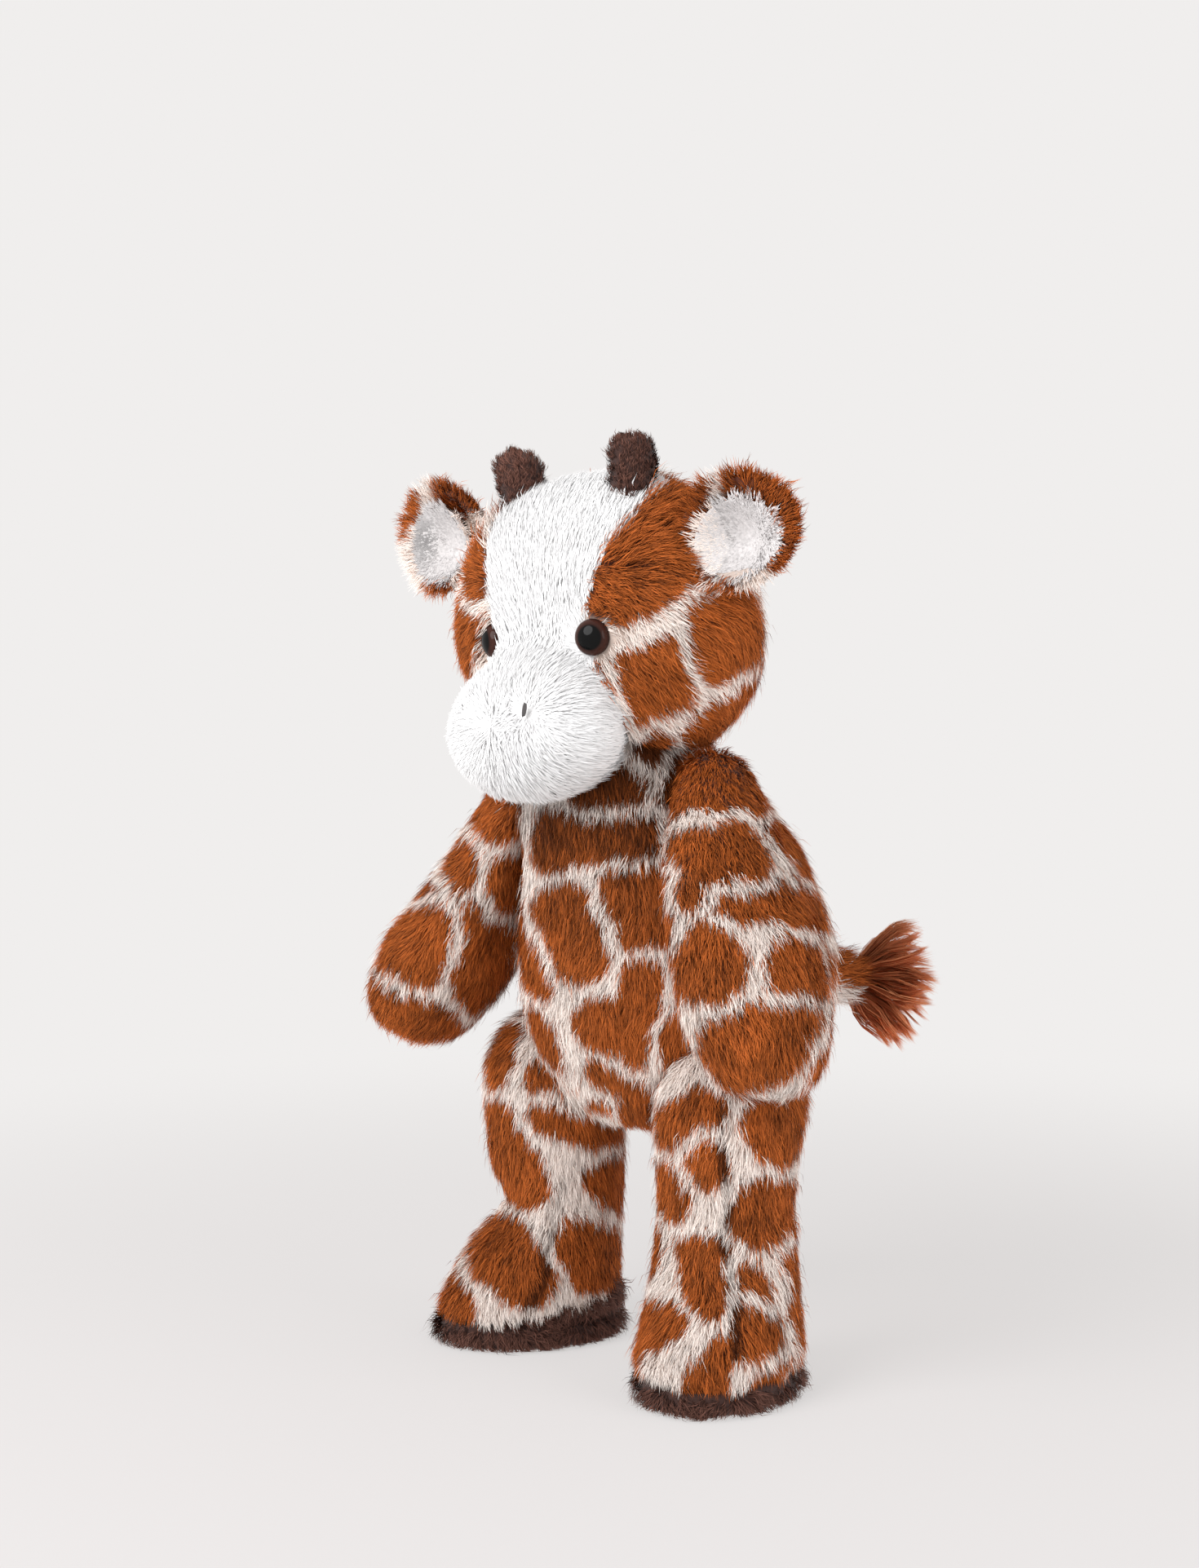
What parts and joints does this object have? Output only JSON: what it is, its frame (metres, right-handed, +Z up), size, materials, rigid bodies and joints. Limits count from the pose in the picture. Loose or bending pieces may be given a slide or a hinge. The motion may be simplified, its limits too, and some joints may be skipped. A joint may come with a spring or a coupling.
{
  "type": "plush giraffe",
  "caption": "Soft standing plush giraffe with patched long-pile fur, round head and white muzzle, horns, cupped ears, jointed limbs and a tasselled tail.",
  "frame": {"origin": "middle of the bounding box, on the floor that the soles stand on", "axes": "+Z up, the toy faces -Y, its own left side is +X"},
  "size_m": [0.2184, 0.214, 0.343],
  "materials": {
    "rust_plush": "long pile, rust with cream patch lines",
    "white_plush": "long pile, white",
    "lining_plush": "short pile, white",
    "brown_plush": "short pile, dark brown",
    "tassel_yarn": "loose yarn",
    "fibre": "stuffing fibre",
    "eye_plastic": "glossy black with a brown ring",
    "washer_plastic": "plain moulding",
    "thread": "embroidery thread",
    "bag_cloth": "woven cotton"
  },
  "bodies": {
    "torso": {"torso_skin": "rust_plush", "torso_filling": "fibre"},
    "head": {"head_skin": "rust_plush", "face_panel": "white_plush", "head_filling": "fibre", "eye_left": "eye_plastic", "eye_washer_left": "washer_plastic", "nostril_left": "thread", "horn_left": "brown_plush", "eye_right": "eye_plastic", "eye_washer_right": "washer_plastic", "nostril_right": "thread", "horn_right": "brown_plush"},
    "ear_left": {"ear_left": "rust_plush", "ear_lining_left": "lining_plush"},
    "arm_left": {"arm_skin_left": "rust_plush", "arm_filling_left": "fibre"},
    "leg_left": {"leg_skin_left": "rust_plush", "leg_filling_left": "fibre", "sole_left": "brown_plush", "foot_bag_left": "bag_cloth"},
    "ear_right": {"ear_right": "rust_plush", "ear_lining_right": "lining_plush"},
    "arm_right": {"arm_skin_right": "rust_plush", "arm_filling_right": "fibre"},
    "leg_right": {"leg_skin_right": "rust_plush", "leg_filling_right": "fibre", "sole_right": "brown_plush", "foot_bag_right": "bag_cloth"},
    "tail": {"tail": "rust_plush", "tail_tassel": "tassel_yarn"}
  },
  "joints": [
    {"name": "neck_turn", "type": "hinge", "parent": "torso", "child": "head", "pos_m": [0, -0.04264, 0.226], "axis": [0, 0, 1], "range_deg": [-20, 20], "stiffness_Nm_per_rad": 0.15},
    {"name": "ear_bend_left", "type": "hinge", "parent": "head", "child": "ear_left", "pos_m": [0.05445, -0.0611, 0.30248], "axis": [0, 0, 1], "range_deg": [-20, 20], "stiffness_Nm_per_rad": 0.02},
    {"name": "ear_bend_right", "type": "hinge", "parent": "head", "child": "ear_right", "pos_m": [-0.04838, -0.0611, 0.30896], "axis": [0, 0, 1], "range_deg": [-20, 20], "stiffness_Nm_per_rad": 0.02},
    {"name": "shoulder_swing_left", "type": "hinge", "parent": "torso", "child": "arm_left", "pos_m": [0.04537, -0.04264, 0.209], "axis": [0.9372, -0.2511, 0.2419], "range_deg": [-60, 25], "stiffness_Nm_per_rad": 0.25},
    {"name": "shoulder_swing_right", "type": "hinge", "parent": "torso", "child": "arm_right", "pos_m": [-0.04537, -0.04264, 0.209], "axis": [-0.9372, -0.2511, 0.2419], "range_deg": [-25, 60], "stiffness_Nm_per_rad": 0.25},
    {"name": "hip_swing_left", "type": "hinge", "parent": "torso", "child": "leg_left", "pos_m": [0.0472, -0.03064, 0.101], "axis": [1, 0, 0], "range_deg": [-25, 15], "stiffness_Nm_per_rad": 0.5},
    {"name": "hip_swing_right", "type": "hinge", "parent": "torso", "child": "leg_right", "pos_m": [-0.0472, -0.03064, 0.101], "axis": [1, 0, 0], "range_deg": [-25, 15], "stiffness_Nm_per_rad": 0.5},
    {"name": "tail_swing", "type": "hinge", "parent": "torso", "child": "tail", "pos_m": [0, 0.04992, 0.1395], "axis": [0, 0, 1], "range_deg": [-15, 60], "stiffness_Nm_per_rad": 0.02}
  ]
}
